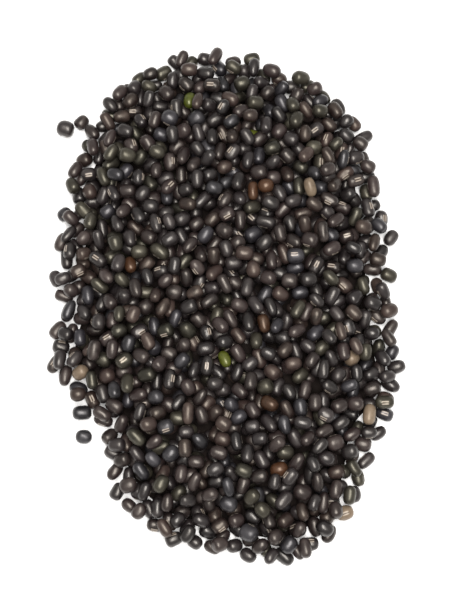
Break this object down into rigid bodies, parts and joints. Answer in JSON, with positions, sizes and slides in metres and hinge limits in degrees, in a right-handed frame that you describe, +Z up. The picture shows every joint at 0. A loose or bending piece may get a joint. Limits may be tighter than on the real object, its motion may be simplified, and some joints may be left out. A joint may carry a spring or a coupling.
{
  "type": "heap of whole black gram",
  "caption": "Low oblong heap of loose whole black gram, poured on a flat surface, with an uneven rim of single grains and a few strays beside it.",
  "frame": {"origin": "centre of the footprint, on the surface the heap lies on", "axes": "+Z up, +Y along the heap towards the top of the picture, +X to the right of the picture"},
  "size_m": [0.1038, 0.153, 0.015],
  "materials": {
    "black_gram_coat": "satin"
  },
  "bodies": {
    "root": {"grain_heap": "black_gram_coat", "stray_grain_right": "black_gram_coat", "stray_grain_lower_left": "black_gram_coat", "stray_grain_upper_left_outer": "black_gram_coat", "stray_grain_upper_left_inner": "black_gram_coat"}
  },
  "joints": []
}
